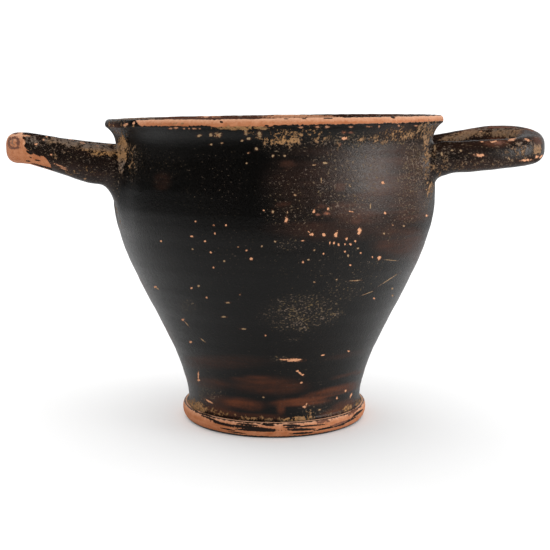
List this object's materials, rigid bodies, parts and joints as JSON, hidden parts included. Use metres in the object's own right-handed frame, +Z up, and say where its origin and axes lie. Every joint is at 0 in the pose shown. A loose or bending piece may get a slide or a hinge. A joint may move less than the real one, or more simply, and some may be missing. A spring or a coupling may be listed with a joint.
{
  "type": "skyphos",
  "caption": "Deep two-handled drinking cup of black-gloss pottery, with a small ring foot, a flared lip and horizontal loop handles; it stands by its own weight.",
  "frame": {"origin": "centre of the foot's underside, on the cup's axis, where it rests", "axes": "+Z up along the cup's axis; +X through the middle of the right handle; -Y towards the side that the picture shows"},
  "size_m": [0.2029, 0.1266, 0.1161],
  "materials": {
    "black_gloss_clay": "satin"
  },
  "bodies": {
    "root": {"skyphos": "black_gloss_clay"}
  },
  "joints": []
}
